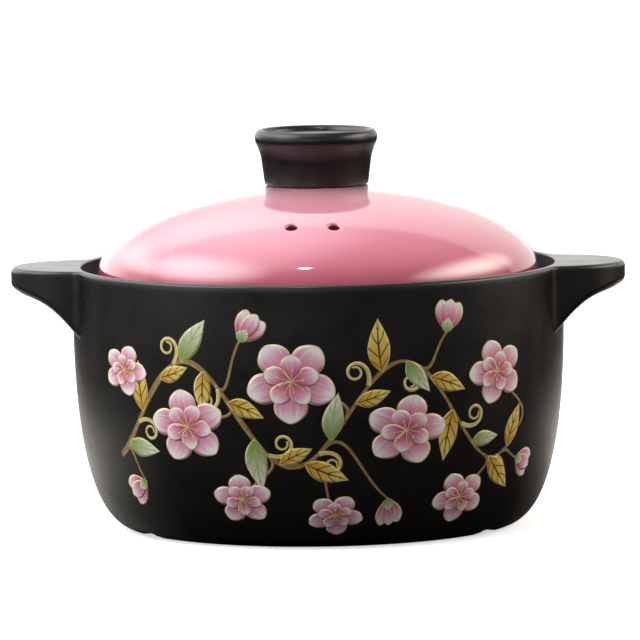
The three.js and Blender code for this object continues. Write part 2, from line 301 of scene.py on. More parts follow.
def glossy_pink_glaze(seat_mm, crown_mm):
    """Rose glaze: paler crown and deeper edge, partly its run and partly painted light and shade, painted
    shade in the steam holes, uneven from the pour, faint ripple, bare seat.
    """
    material, add, shader = new_material("glossy_rose_pink_glaze")
    place = add("TexCoord", output="Object")
    pour = add("TexNoise", {"Vector": place, "Scale": per_metre(POUR_MM), "Detail": 2.0})
    ripple = add("TexNoise", {"Vector": place, "Scale": per_metre(RIPPLE_MM), "Detail": 1.0})
    height = add("SeparateXYZ", {"Vector": place}, output="Z")
    # Height from seat to crown drives the rose ramp: paler towards the crown and deeper towards the edge,
    # partly the glaze's run and partly painted light and shade.
    share = add("MapRange", {"Value": height, "From Min": seat_mm * MM, "From Max": crown_mm * MM})
    run = add("Math", {0: pour, 1: POUR_UNEVEN, 2: share}, operation="MULTIPLY_ADD")
    rose_tones = ((0.17, "#bc4c66"), (0.38, "#d97388"), (0.66, "#de869a"), (1.0, "#e29dad"))
    rose = add("ValToRGB", {"Fac": run}, rose_tones)
    # Painted shade: the inside of each steam hole is mixed towards a dark rose.
    hole_shade = add("Attribute", attribute_name="hole_shade", output="Fac")
    glaze = add("Mix", {"Factor": hole_shade, "A": rose, "B": linear("#8a3046")}, data_type="RGBA")
    wiped = {"Value": height, "From Min": (seat_mm + SEAT_BARE_MM) * MM, "From Max": seat_mm * MM}
    bare = add("MapRange", wiped)
    colour = add("Mix", {"Factor": bare, "A": glaze, "B": linear("#b7a48c")}, data_type="RGBA")
    gloss = add("MapRange", {"Value": bare, "To Min": 0.08, "To Max": 0.85})
    wobble = add("Bump", {"Height": ripple, "Strength": 0.06, "Distance": RIPPLE_DEPTH_MM * MM})
    set_inputs(shader, {"Base Color": colour, "Roughness": gloss, "Normal": wobble, "IOR": 1.5})
    set_inputs(shader, {"Coat Weight": 1.0, "Coat Roughness": 0.05, "Coat IOR": 1.68})
    return material


pink_glaze = glossy_pink_glaze(*node_boxes["lid"][:, 2])
print("made", pink_glaze.name)

# %% [markdown]
# The bowl
#
# The bowl is thrown on the wheel, so it is one profile carried round an axis: a hollow foot ring, a flank
# that turns up in one long curve to an upright wall, a rounded rim, and inside it the gallery, a step with
# a ledge for the lid. Three notches are cut through the foot ring. A stretched cylinder could be bent to
# this shape, but carrying the potter's own profile round gives the right curve from every side.

# %% The bowl's profile
BOWL_RADIUS = node_boxes["pot_body"][1][0]
BOWL_HEIGHT = node_boxes["pot_body"][1][2]
PRINT_ROOM = 0.3
WALL_RADIUS = BOWL_RADIUS - PRINT_ROOM
WALL, FLOOR = 7.0, 7.0
COLLAR_HEIGHT, BELLY_PULL, BASE_PULL = 23.0, 82.3, 13.5
FOOT_RADIUS, FOOT_WIDTH, FOOT_RECESS = 86.0, 12.0, 3.0
RIM_WIDTH, RIM_ROUND = 4.4, 1.6
GALLERY_DEPTH, GALLERY_DRAFT = 7.0, 3.5
LEDGE_WIDTH, LEDGE_THICKNESS, LEDGE_HAUNCH = 12.5, 6.0, 8.0
BOWL_SOFTNESS = 0.45
BOWL_ROWS, BOWL_COLUMNS = 240, 360

collar = BOWL_HEIGHT - COLLAR_HEIGHT
side = bezier(
    (FOOT_RADIUS, 0),
    (FOOT_RADIUS + BASE_PULL, 0),
    (WALL_RADIUS, collar - BELLY_PULL),
    (WALL_RADIUS, collar),
    count=160,
)
print("wall", WALL_RADIUS.round(1), "mm from the axis, upright above", collar.round(1), "mm")


def bowl_profile():
    """Half outline of the bowl: foot recess, foot, flank, rim, gallery, ledge, inner wall, floor."""
    seat = BOWL_HEIGHT - GALLERY_DEPTH
    rim_inner = WALL_RADIUS - RIM_WIDTH
    gallery_foot = rim_inner - GALLERY_DRAFT
    nose = LEDGE_THICKNESS / 2
    haunch = seat - LEDGE_THICKNESS - LEDGE_HAUNCH
    foot_inner = FOOT_RADIUS - FOOT_WIDTH
    along = headings(side)
    inner = side + WALL * np.stack([-along[:, 1], along[:, 0]], 1)
    inner = inner[(inner[:, 1] > FOOT_RECESS + FLOOR) & (inner[:, 1] < haunch)]
    return np.vstack(
        [
            [(0, FOOT_RECESS), (foot_inner - FOOT_RECESS, FOOT_RECESS), (foot_inner, 0)],
            side,
            arc((WALL_RADIUS - RIM_ROUND, BOWL_HEIGHT - RIM_ROUND), RIM_ROUND, 0, 1),
            arc((rim_inner + RIM_ROUND, BOWL_HEIGHT - RIM_ROUND), RIM_ROUND, 1, 2),
            [(gallery_foot, seat)],
            arc((gallery_foot - LEDGE_WIDTH + nose, seat - nose), nose, 1, 3, 24),
            [(WALL_RADIUS - WALL, haunch)],
            inner[::-1],
            [(0, FOOT_RECESS + FLOOR)],
        ]
    )


# %% The bowl's surface, with its notched foot
NOTCH_COUNT, NOTCH_WIDTH, NOTCH_DEPTH, NOTCH_SLOPE = 3, 22.0, 2.6, 3.0
FOOT_BARE_MM, LEDGE_BARE_MM = 0.3, 0.6


def notch_lift(points, angles):
    """How far the underside is cut up: NOTCH_DEPTH across each notch, with sides that ease to nothing."""
    radius = np.hypot(points[..., 0], points[..., 1])
    lift = np.zeros(radius.shape)
    for middle in np.pi + whole_turn(NOTCH_COUNT):
        turn = (angles - middle + np.pi) % (2 * np.pi) - np.pi
        across = np.where(np.abs(turn) < np.pi / 2, np.abs(radius * np.sin(turn)), np.inf)
        ease = np.clip((NOTCH_WIDTH / 2 - across) / NOTCH_SLOPE, 0, 1)
        lift = np.maximum(lift, NOTCH_DEPTH * ease**2 * (3 - 2 * ease))
    return lift


def dry_places(piece):
    """1 on the foot's standing ring and the flat of the ledge, 0.5 on the gallery wall, 0 elsewhere."""
    x, y, z = read_points(piece).T
    radius = np.hypot(x, y)
    above_seat = z - (BOWL_HEIGHT - GALLERY_DEPTH)
    rim_inner = WALL_RADIUS - RIM_WIDTH
    on_seat = (np.abs(above_seat) < LEDGE_BARE_MM) & (radius > rim_inner - GALLERY_DRAFT - LEDGE_WIDTH)
    in_gallery = (above_seat > 0) & (radius < rim_inner + RIM_ROUND / 4)
    return np.where((z < FOOT_BARE_MM) | on_seat, 1.0, 0.5 * in_gallery)


def make_bowl(outline):
    """The bowl's outline carried round the axis, then its underside raised where the notches are."""
    angles = whole_turn(BOWL_COLUMNS)
    points = revolve(outline, angles)
    points[..., 2] = np.maximum(points[..., 2], notch_lift(points, angles))
    faces = grid_faces(*points.shape[:2], wrap_columns=True)
    piece = mesh_object("bowl", points, faces, black_glaze, weld=True)
    mark_points(piece, "dry", dry_places(piece))
    return piece


bowl_outline = sponge(bowl_profile(), BOWL_SOFTNESS, BOWL_ROWS)
rim_crest = bowl_outline[:, 1].max()
bowl = make_bowl(bowl_outline)
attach(bowl, "pot")
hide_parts("pot_body")

# %% [markdown]
# The lug handles
#
# Each handle is a flat-topped lug pressed in a mould, stuck to the wall with slip, and smoothed at the
# joint so that the clay flows from lug to bowl. Its plan is a rounded tongue, and its underside sweeps
# down the wall for the fingers. A loft of cross sections would pinch at the round tip, so the surface
# runs round the plan's outline instead: each outline point carries one section, from the top's middle
# over the rounded edge, down the flank, under the lower edge and back to the middle below. The outline
# closes inside the bowl's wall, where it can't be seen.

# %% Outline and underside of a handle
LUG_TIP = node_boxes["right_handle"][1][0]
LUG_WIDTH, LUG_TIP_PULL, LUG_SIDE_PULL = 64.0, 18.0, 15.2
LUG_TIP_DEPTH, LUG_ROOT_DEPTH, LUG_ROOT_SINK = 11.0, 31.5, 4.4
LUG_TIP_ROUND, LUG_TIP_SWEEP, LUG_TIP_FALL = 3.2, 8.6, 0.36
LUG_ROOT_SWEEP, LUG_ROOT_LEAN = 19.3, 0.76
LUG_JOINT_ROUND = 7.0
LUG_TUCK, LUG_MIDDLE = 2.3, 8.0
TONGUE_STEPS, TONGUE_STRIDE, JOINT_STEPS, ROOT_STEPS = 400, 7, 14, 30
print("handle tips", LUG_TIP.round(1), "mm from the axis")


def lug_outline():
    """The tongue's plan as points and inward normals: a curve from the tip along one side, then an arc that
    lands on the wall and a step into it, the mirror image of all that, and an arc inside the wall that closes
    the loop, where normals are zero."""
    root, turn = BOWL_RADIUS - WALL, BOWL_RADIUS + LUG_SIDE_PULL
    half_width = LUG_WIDTH / 2
    tip, tip_pull = (LUG_TIP, 0), (LUG_TIP, LUG_TIP_PULL)
    tongue = bezier(tip, tip_pull, (turn, half_width), (root, half_width), TONGUE_STEPS)
    along = headings(tongue)
    along[0] = (0, 1)
    inward = np.stack([-along[:, 1], along[:, 0]], 1)
    centres = tongue - inward * LUG_JOINT_ROUND
    last = int(np.argmax(np.hypot(*centres.T) < WALL_RADIUS + LUG_JOINT_ROUND))
    centre = centres[last]
    swing = np.unwrap(np.arctan2([inward[last, 1], -centre[1]], [inward[last, 0], -centre[0]]))
    angle = np.linspace(*swing, JOINT_STEPS)[1:]
    arc_normals = np.stack([np.cos(angle), np.sin(angle)], 1)
    landing = centre + LUG_JOINT_ROUND * arc_normals
    sunk = landing[-1:] * (1 - LUG_TUCK / WALL_RADIUS)
    half = np.vstack([tongue[:last:TONGUE_STRIDE], landing, sunk])
    normals = np.vstack([inward[:last:TONGUE_STRIDE], arc_normals, 0 * sunk])
    mirror = np.array([1, -1])
    root_quarter = np.arctan2(sunk[0, 1], sunk[0, 0]) / (np.pi / 2)
    closing = arc((0, 0), WALL_RADIUS - LUG_TUCK, -root_quarter, root_quarter, ROOT_STEPS)[1:-1]
    outline = np.vstack([half[::-1], half[1:] * mirror, closing])
    return outline, np.vstack([normals[::-1], normals[1:] * mirror, 0 * closing])


def lug_underside(x):
    """Height of the underside at a distance x from the pot's axis: the sweep from the root to the tip."""
    tip_bottom = BOWL_HEIGHT - LUG_TIP_DEPTH
    root_bottom = BOWL_HEIGHT - LUG_ROOT_DEPTH
    start, end = BOWL_RADIUS - LUG_ROOT_SINK, LUG_TIP - LUG_TIP_ROUND
    sweep = bezier(
        (start, root_bottom),
        (start + LUG_ROOT_LEAN * LUG_ROOT_SWEEP, root_bottom + LUG_ROOT_SWEEP),
        (end - LUG_TIP_SWEEP, tip_bottom - LUG_TIP_FALL * LUG_TIP_SWEEP),
        (end, tip_bottom),
        count=120,
    )
    return np.interp(x, sweep[:, 0], sweep[:, 1])


# %% The handles' surfaces
LUG_TOP_ROUND, LUG_UNDER_ROUND = (1.5, 2.5), (2.6, 4.0)
LUG_DROP = 0.02
LUG_TOP = rim_crest - LUG_DROP
EDGE_STEPS, RUN_STEPS, FLANK_STEPS = 10, 24, 16


def lug_points():
    """Grid of sections (columns) round the outline (rows): inset from the outline, then height. The edges'
    radii grow from the flanks to the tip as the square of the outline normal's x."""
    outline, normals = lug_outline()
    tip_share = normals[:, :1] ** 2 * (outline[:, :1] > BOWL_RADIUS)
    quarter = np.linspace(0, np.pi / 2, EDGE_STEPS)
    run = np.linspace(1, 0, RUN_STEPS)[:-1]
    flank = np.linspace(0, 1, FLANK_STEPS)[1:-1]
    top, under = (low + (high - low) * tip_share for low, high in (LUG_TOP_ROUND, LUG_UNDER_ROUND))
    top_edge, under_edge = top * (1 - np.sin(quarter)), under * (1 - np.cos(quarter))
    inset = np.hstack([run * 0 + top, top_edge, flank * 0 * top, under_edge, run * 0 + under])
    toward = np.r_[run, quarter * 0, flank * 0, quarter * 0, run[::-1]]
    middle = np.array([WALL_RADIUS + LUG_MIDDLE, 0.0])
    plan = outline[:, None] + normals[:, None] * inset[..., None]
    plan = plan + (middle - plan) * toward[:, None]
    upper = LUG_TOP - np.hstack([run * 0 * top, top * (1 - np.cos(quarter))])
    rise = np.hstack([under * (1 - np.sin(quarter)), run * 0 * under])
    lower = lug_underside(plan[:, -rise.shape[1] :, 0]) + rise
    wall = upper[:, -1:] + (lower[:, :1] - upper[:, -1:]) * flank
    return np.dstack([plan, np.hstack([upper, wall, lower])])


def make_lug(name, mirror):
    """The section grid, closed on itself round the outline, and mirrored for left."""
    points = lug_points()
    faces = grid_faces(*points.shape[:2], wrap_rows=True)
    if mirror:
        points = points * (-1, 1, 1)
    else:
        faces = faces[..., ::-1]
    return mesh_object(name, points, faces, black_glaze, weld=True)


for name, mirror in (("right_lug", False), ("left_lug", True)):
    lug = make_lug(name, mirror)
    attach(lug, "pot")
    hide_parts(name.replace("lug", "handle"))

# %% [markdown]
# The lid
#
# The lid is thrown upside down as a shallow bowl: half an ellipse outside, another inside, a rounded edge
# and a flat ring to sit on. Two steam holes are drilled through its front with softened lips. A boolean
# would cut them, but it leaves long thin faces that ripple in a mirror gloss. So a square of faces is
# left out of the dome, and a funnel of rings runs from that square down through the hole.

# %% The lid's profile
LID_RADIUS = node_boxes["lid"][1][0]
LID_BOTTOM, LID_TOP = node_boxes["lid"][:, 2]
LID_EDGE_ROUND, LID_SEAT_WIDTH, LID_THICKNESS = 2.2, 6.0, 6.0
LID_RISE = 42.6
KNOB_SEAT_RADIUS = 24.8
CROWN_VENT_RADIUS = 1.5
LID_SOFTNESS = 0.3
LID_ROWS, LID_COLUMNS = 190, 350
lid_equator = LID_BOTTOM + LID_EDGE_ROUND
print("lid", LID_RADIUS.round(1), "mm in radius, widest at", lid_equator.round(1), "mm")


def lid_profile():
    """Half outline of the lid: vent, inner half ellipse, seat ring, rounded edge, outer ellipse, crown."""
    inner_radius = LID_RADIUS - LID_SEAT_WIDTH
    inner_rise = LID_TOP - LID_THICKNESS - LID_BOTTOM
    inside = arc((0, LID_BOTTOM), (inner_radius, inner_rise), 1, 0, 140)
    crown_quarter = np.arccos(KNOB_SEAT_RADIUS / LID_RADIUS) / (np.pi / 2)
    return np.vstack(
        [
            [(CROWN_VENT_RADIUS, inside[0, 1])],
            inside[inside[:, 0] > CROWN_VENT_RADIUS],
            arc((LID_RADIUS - LID_EDGE_ROUND, lid_equator), LID_EDGE_ROUND, -1, 0),
            arc((0, lid_equator), (LID_RADIUS, LID_RISE), 0, crown_quarter, 180),
            [(CROWN_VENT_RADIUS, LID_TOP)],
        ]
    )


# %% Steam holes: funnels between the two sides of the lid
HOLE_RADIUS, HOLE_LIP = 2.45, 1.4
HOLE_DISTANCE = 77.0
HOLE_COLUMNS = 7
WINDOW = 5
FUNNEL_RINGS, LIP_RINGS = 7, 9


def window_loop():
    """Row and column steps once round the square window, starting at one corner."""
    edge = np.arange(-WINDOW, WINDOW)
    rows = np.r_[edge * 0 - WINDOW, edge, edge * 0 + WINDOW, -edge]
    columns = np.r_[edge, edge * 0 + WINDOW, -edge, edge * 0 - WINDOW]
    return rows, columns


def funnel_side(points, row, column, row_sign, axis):
    """One side of a hole: from the window's edge the dome runs in along rays, and a quarter circle of
    HOLE_LIP turns it down into the hole. Height off the tangent plane goes as distance squared."""
    rows, columns = window_loop()
    edge = points[row + row_sign * rows, (column + columns) % points.shape[1]]
    centre = points[row, column]
    across = points[row, (column + 1) % points.shape[1]] - centre
    across = across - axis * (across @ axis)
    across /= np.linalg.norm(across)
    along = np.cross(axis, across)
    flat = np.stack([(edge - centre) @ across, (edge - centre) @ along], 1)
    reach = np.hypot(*flat.T)
    bulge = (edge - centre) @ axis
    outer = HOLE_RADIUS + HOLE_LIP
    ease = np.linspace(1, 0, FUNNEL_RINGS)[:, None]
    quarter = np.linspace(np.pi / 2, 0, LIP_RINGS)[1:, None]
    lip = HOLE_RADIUS + HOLE_LIP * (1 - np.cos(quarter)) + 0 * reach
    out = np.vstack([outer + (reach - outer) * ease, lip])
    sunk = np.vstack([0 * ease, HOLE_LIP * (1 - np.sin(quarter))])
    height = bulge * (out / reach) ** 2 - sunk
    spread = out[..., None] * (flat / reach[:, None])
    return centre + spread[..., :1] * across + spread[..., 1:] * along + height[..., None] * axis


def steam_hole(points, column):
    """A whole hole: the outer funnel, then the inner one turned round, the rows left open for it, and its
    axis as a point and a direction."""
    radius = np.hypot(points[:, 0, 0], points[:, 0, 1])
    equator_row = int(np.argmax(radius))
    outer_row = equator_row + int(np.argmin(np.abs(radius[equator_row:] - HOLE_DISTANCE)))
    centre = points[outer_row, column]
    slope = centre / (LID_RADIUS**2, LID_RADIUS**2, 1)
    slope[2] = (centre[2] - lid_equator) / LID_RISE**2
    axis = slope / np.linalg.norm(slope)
    inner_target = HOLE_DISTANCE - LID_THICKNESS * np.hypot(axis[0], axis[1])
    inner_row = int(np.argmin(np.abs(radius[:equator_row] - inner_target)))
    outside = funnel_side(points, outer_row, column, 1, axis)
    inside = funnel_side(points, inner_row, column, -1, -axis)
    return np.concatenate([outside, inside[::-1]]), (inner_row, outer_row), (centre, axis)


# %% The lid's surface


def painted_hole_shade(piece, axes):
    """Painted shade in the steam holes: 1 inside, easing to 0 across the lips, by distance to each hole's
    axis.
    """
    points = read_points(piece)
    hole_shade = np.zeros(len(points))
    for centre, axis in axes:
        distance = np.linalg.norm(np.cross(points - centre, axis), axis=1)
        hole_shade = np.maximum(hole_shade, 1 - (distance - HOLE_RADIUS) / (HOLE_LIP / 2))
    return np.clip(hole_shade, 0, 1)


def make_lid():
    """The lid's profile carried round the axis, with a window left out at each end of every steam hole."""
    points = revolve(sponge(lid_profile(), LID_SOFTNESS, LID_ROWS), whole_turn(LID_COLUMNS))
    faces = grid_faces(*points.shape[:2], wrap_rows=True, wrap_columns=True)
    keep = np.ones(faces.shape[:2], bool)
    funnels, axes = [], []
    for column in (HOLE_COLUMNS, -HOLE_COLUMNS):
        funnel, rows, axis = steam_hole(points, column)
        funnels.append((funnel, grid_faces(*funnel.shape[:2], wrap_columns=True)))
        axes.append(axis)
        open_columns = np.arange(column - WINDOW, column + WINDOW) % LID_COLUMNS
        for row in rows:
            keep[row - WINDOW : row + WINDOW, open_columns] = False
    piece = mesh_object("cover_dome", *join([(points, faces[keep])] + funnels), pink_glaze, weld=True)
    # Painted shade in the steam holes, stored per point for the glaze to read.
    mark_points(piece, "hole_shade", painted_hole_shade(piece, axes))
    return piece


lid = make_lid()
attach(lid, "cover")
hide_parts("lid")

# %% [markdown]
# The knob
#
# The knob is a small cup thrown upside down and stuck to the crown: a straight waist that widens upwards, a
# rolled bead at the top, and a shallow dish. It stands hollow on the lid, as a solid lump would crack.

# %% The knob's profile and surface
KNOB_BOTTOM, KNOB_TOP = node_boxes["knob"][:, 2]
KNOB_BEAD_RADIUS = node_boxes["knob"][1][0]
KNOB_BASE_RADIUS, KNOB_WAIST_RADIUS, KNOB_WAIST_HEIGHT = 24.2, 25.9, 13.0
KNOB_BEAD_DROP, KNOB_BEAD_TURN, KNOB_CREST_WIDTH = 3.9, 0.37, 4.8
KNOB_DISH_DEPTH, KNOB_WALL, KNOB_FLARE_HOLLOW = 2.4, 5.0, 0.3
KNOB_SOFTNESS = 0.55
KNOB_ROWS, KNOB_COLUMNS = 150, 160


def knob_profile():
    """Half outline of the knob: hollow, base, waist, flare, bead, crest, dish."""
    waist, bead = KNOB_BOTTOM + KNOB_WAIST_HEIGHT, KNOB_TOP - KNOB_BEAD_DROP
    dish = KNOB_TOP - KNOB_DISH_DEPTH
    ceiling = dish - KNOB_WALL
    inner = KNOB_BASE_RADIUS - KNOB_WALL
    crest_middle = (KNOB_BEAD_RADIUS - KNOB_CREST_WIDTH / 2, bead)
    crest = arc(crest_middle, (KNOB_CREST_WIDTH / 2, KNOB_BEAD_DROP), -KNOB_BEAD_TURN, 2, 48)
    neck = np.array([KNOB_WAIST_RADIUS, waist])
    pull = (neck + crest[0]) / 2 - (KNOB_FLARE_HOLLOW, 0)
    flare = bezier(neck, pull, pull, crest[0], 40)
    return np.vstack(
        [
            [(0, ceiling), (inner, ceiling), (inner, KNOB_BOTTOM), (KNOB_BASE_RADIUS, KNOB_BOTTOM)],
            flare,
            crest,
            [(KNOB_BEAD_RADIUS - KNOB_CREST_WIDTH, dish), (0, dish)],
        ]
    )


knob_points = revolve(sponge(knob_profile(), KNOB_SOFTNESS, KNOB_ROWS), whole_turn(KNOB_COLUMNS))
knob_faces = grid_faces(*knob_points.shape[:2], wrap_columns=True)
knob = mesh_object("lid_knob", knob_points, knob_faces, black_glaze, weld=True)
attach(knob, "cover")
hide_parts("knob")

# %% [markdown]
# Overglaze print
#
# After the glaze firing the bowl gets a printed flower design, fired on again at a lower heat. The real
# process is a transfer: thin films of coloured enamel on a sheet, slid on to the wall. It is made
# the same way here. Petals, leaves and lines are drawn flat, in millimetres across and down from the rim,
# and a chart of the wall then wraps each film on the bowl a few hundredths of a millimetre above the glaze.

# %% A chart of the wall
chart = np.vstack([[(WALL_RADIUS, BOWL_HEIGHT - RIM_ROUND)], side[::-1]])
chart_depth = np.r_[0, np.cumsum(np.hypot(*np.diff(chart, axis=0).T))]
chart_along = headings(chart)
FILM_MM = 0.03
print("wall", chart_depth[-1].round(1), "mm from rim to foot along its curve")


def on_wall(flat, lift):
    """Wrap flat points on the wall: across / WALL_RADIUS is the angle from the front, the distance below
    zero runs down the profile, and lift goes out along the wall's normal."""
    radius, height, sink, lean = (
        np.interp(-flat[..., 1], chart_depth, column)
        for column in (chart[:, 0], chart[:, 1], -chart_along[:, 1], chart_along[:, 0])
    )
    angle = flat[..., 0] / WALL_RADIUS
    out = radius + lift * sink
    return np.stack([out * np.sin(angle), -out * np.cos(angle), height + lift * lean], -1)


def film_piece(name, films, material):
    """One piece from many films, each a flat grid with its lift and its own UV square."""
    grids = [(on_wall(flat, lift), grid_faces(*flat.shape[:2])) for flat, lift, _ in films]
    uv = np.vstack([film_uv.reshape(-1, 2) for *_, film_uv in films])
    piece = mesh_object(name, *join(grids), material, uv=uv)
    skin = piece.modifiers.new("film_thickness", "SOLIDIFY")
    skin.thickness = FILM_MM * MM
    skin.offset = -1.0
    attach(piece, "pot")
    return piece


# %% Flat shapes of the print
BLUNT = 0.03


def blade(length, width, widest, point, grow=0.0, bend=0.0, rows=26, columns=11):
    """A leaf or petal standing on the origin: its half width is a sine arch raised to the power point, widest
    at the given share of its length, and blunt at both ends. Its midline leans by bend, and grow widens it
    all round."""
    t = (1 - np.cos(np.linspace(0, np.pi, rows)))[:, None] / 2
    v = np.linspace(-1, 1, columns)
    arch = np.abs(np.sin(np.pi * t ** (np.log(0.5) / np.log(widest)))) ** point
    arch = np.maximum(arch, BLUNT)
    x = v * (width / 2 + grow) * arch + bend * length * t**2
    y = (length + 2 * grow) * t - grow + 0 * v
    return np.dstack([x, y]), np.dstack(np.broadcast_arrays(v / 2 + 0.5, t))


def ribbon(path, width):
    """A line along a path: every point steps half the width to both sides, square to the path."""
    along = headings(path)
    aside = np.stack([along[:, 1], -along[:, 0]], 1) * np.broadcast_to(width, len(path))[:, None] / 2
    v = np.linspace(-1, 1, 5)
    t = np.linspace(0, 1, len(path))[:, None]
    uv = np.dstack(np.broadcast_arrays(v / 2 + 0.5, t))
    return path[:, None] + aside[:, None] * v[:, None], uv


def turned(flat, centre, degrees):
    """Turn a flat shape anticlockwise about the origin and move it to its centre."""
    c, s = np.cos(np.radians(degrees)), np.sin(np.radians(degrees))
    return flat @ np.array([[c, s], [-s, c]]) + centre


def curl(length, turns):
    """A tendril: its heading turns as t to the power 1.7, and adding up the headings gives the path."""
    t = np.linspace(0, 1, 90)
    heading = 2 * np.pi * turns * t**1.7
    return np.cumsum(np.stack([np.sin(heading), np.cos(heading)], 1), axis=0) * length / len(t)


# %% [markdown]
# Enamels
#
# Overglaze enamel is coloured glass, thin and slightly glossy, and its tints are brushed or screened so that
# one colour fades into the next. UV runs across and along each film, so a petal can fade from a deep base
# to a pale tip, a leaf can carry its veins, and a line can be lighter on one side.

# %% Enamel materials
ENAMEL_ROUGHNESS = 0.35
PETAL_VARIES_MM, LINE_GRAIN_MM = 20, 2.5


def petal_enamel():
    """Rose enamel: deep at the base, nearly white at the tip, with fine streaks along the petal."""
    material, add, shader = new_material("rose_overglaze_enamel")
    uv = add("TexCoord", output="UV")
    place = uv.node.outputs["Object"]
    stretch = add("Mapping", {"Vector": uv, "Scale": (16.0, 1.2, 1.0)})
    x = add("SeparateXYZ", {"Vector": place}, output="X")
    seed = add("Math", {0: x, 1: per_metre(PETAL_VARIES_MM)}, operation="MULTIPLY")
    grain = {"Vector": stretch, "W": seed, "Scale": 1.0, "Detail": 2.0}
    streaks = add("TexNoise", grain, noise_dimensions="4D")
    along = add("SeparateXYZ", {"Vector": uv}, output="Y")
    offset = add("MapRange", {"Value": streaks, "To Min": -0.28, "To Max": 0.28})
    fade = add("Math", {0: along, 1: offset}, operation="ADD")
    rose_tones = ((0.06, "#b23a6e"), (0.4, "#d66f98"), (0.68, "#eeb4c8"), (0.9, "#fdf6f5"))
    tint = add("ValToRGB", {"Fac": fade}, rose_tones)
    set_inputs(shader, {"Base Color": tint, "Roughness": ENAMEL_ROUGHNESS})
    return material


def leaf_enamel(name, base, tip, vein):
    """Leaf enamel: fades from base to tip, with a midrib and slanting side veins of a darker colour."""
    material, add, shader = new_material(name)
    uv = add("TexCoord", output="UV")
    across, along, _ = add("SeparateXYZ", {"Vector": uv}).node.outputs
    off = add("Math", {0: across, 1: 0.5}, operation="SUBTRACT")
    aside = add("Math", {0: off}, operation="ABSOLUTE")
    rib = add("MapRange", {"Value": aside, "From Min": 0.06, "From Max": 0.03})
    slant = add("Math", {0: aside, 1: -0.5, 2: along}, operation="MULTIPLY_ADD")
    wave = add("Math", {0: slant, 1: 0.13}, operation="PINGPONG")
    veins = add("MapRange", {"Value": wave, "From Min": 0.026, "From Max": 0.012})
    drawn = add("Math", {0: rib, 1: veins}, operation="MAXIMUM")
    flesh = add("ValToRGB", {"Fac": along}, ((0.15, base), (0.9, tip)))
    colour = add("Mix", {"Factor": drawn, "A": flesh, "B": linear(vein)}, data_type="RGBA")
    set_inputs(shader, {"Base Color": colour, "Roughness": ENAMEL_ROUGHNESS})
    return material


def line_enamel(name, dark, light, roughness):
    """Enamel for lines: shaded from one edge to the other, broken by a fine grain."""
    material, add, shader = new_material(name)
    uv = add("TexCoord", output="UV")
    place = uv.node.outputs["Object"]
    across = add("SeparateXYZ", {"Vector": uv}, output="X")
    grain = add("TexNoise", {"Vector": place, "Scale": per_metre(LINE_GRAIN_MM)})
    shade = add("Math", {0: grain, 1: across}, operation="MULTIPLY")
    tint = add("ValToRGB", {"Fac": shade}, ((0.05, dark), (0.5, light)))
    set_inputs(shader, {"Base Color": tint, "Roughness": roughness})
    return material


rose = petal_enamel()
gold_leaf = leaf_enamel("golden_leaf_enamel", "#d9a43c", "#f2e07c", "#4a3413")
green_leaf = leaf_enamel("green_leaf_enamel", "#7f9f4e", "#eef0dc", "#a9b56a")
pale_gold = line_enamel("pale_gold_enamel", "#c9b25a", "#f0e3a0", ENAMEL_ROUGHNESS)
umber = line_enamel("umber_line_enamel", "#7b5f38", "#b99a66", 0.45)
print("made", [m.name for m in (rose, gold_leaf, green_leaf, pale_gold, umber)])

# %% [markdown]
# A scrolling vine
#
# The design is a plain scrolling vine, the oldest border there is: one wave across the front, a blossom in
# each bend, leaves in turn to either side, and curls that fill the gaps. The back of the bowl stays bare.

# %% The vine, its leaves and curls
VINE_REACH, VINE_MIDDLE, VINE_SWING, VINE_WAVE, VINE_CREST = 108.0, -58.0, 24.0, 104.0, -62.0
VINE_LIFT, LEAF_LIFT, BLOSSOM_LIFT = 0.05, 0.08, 0.12
OUTLINE_MM = 0.4
STEM_WIDTHS, STALK_WIDTHS, CURL_WIDTHS = (2.8, 1.2), (1.7, 1.1), (2.2, 0.9)
LEAF_LENGTH, LEAF_WIDTH, LEAF_BEND, LEAF_ANGLE = 20.0, 0.42, 0.12, 48.0
CURL_LENGTH, CURL_TURNS, CURL_ANGLE = 34.0, 1.35, 30.0


def vine_at(across):
    """Points of the vine: a cosine wave round its middle height."""
    up = VINE_MIDDLE + VINE_SWING * np.cos(2 * np.pi * (np.asarray(across, float) - VINE_CREST) / VINE_WAVE)
    return np.stack([across + 0 * up, up], -1)


def vine_heading(across):
    """Heading of the vine in degrees from straight up, anticlockwise."""
    step = vine_at(across + 0.5) - vine_at(across - 0.5)
    return np.degrees(np.arctan2(step[1], step[0])) - 90


lines, golds, gold_leaves, green_leaves = [], [], [], []


def add_line(films, path, width, lift):
    """A drawn line: a ribbon along a path, kept as a film."""
    flat, uv = ribbon(path, width)
    films.append((flat, lift, uv))


def add_leaf(number, across):
    """A leaf on the vine, to either side in turn, every third one green, with a thin gold edge under it."""
    away = 1 if number % 2 else -1
    length = LEAF_LENGTH + 4 * np.sin(2.4 * number)
    width, bend = length * LEAF_WIDTH, LEAF_BEND * away
    heading = vine_heading(across) + away * (LEAF_ANGLE + 14 * np.cos(1.7 * number))
    leaves = gold_leaves if number % 3 else green_leaves
    for films, grow, lift in ((golds, OUTLINE_MM, LEAF_LIFT - 0.01), (leaves, 0.0, LEAF_LIFT)):
        flat, uv = blade(length, width, widest=0.42, point=1.0, grow=grow, bend=bend)
        films.append((turned(flat, vine_at(across), heading), lift, uv))


def add_curl(number, across):
    """A tendril that leaves the vine to either side in turn."""
    away = -1 if number % 2 else 1
    path = curl(CURL_LENGTH + 5 * np.sin(3.1 * number), CURL_TURNS) * (away, 1)
    path = turned(path, vine_at(across), vine_heading(across) - away * CURL_ANGLE)
    add_line(golds, path, np.linspace(*CURL_WIDTHS, len(path)), VINE_LIFT + 0.01)


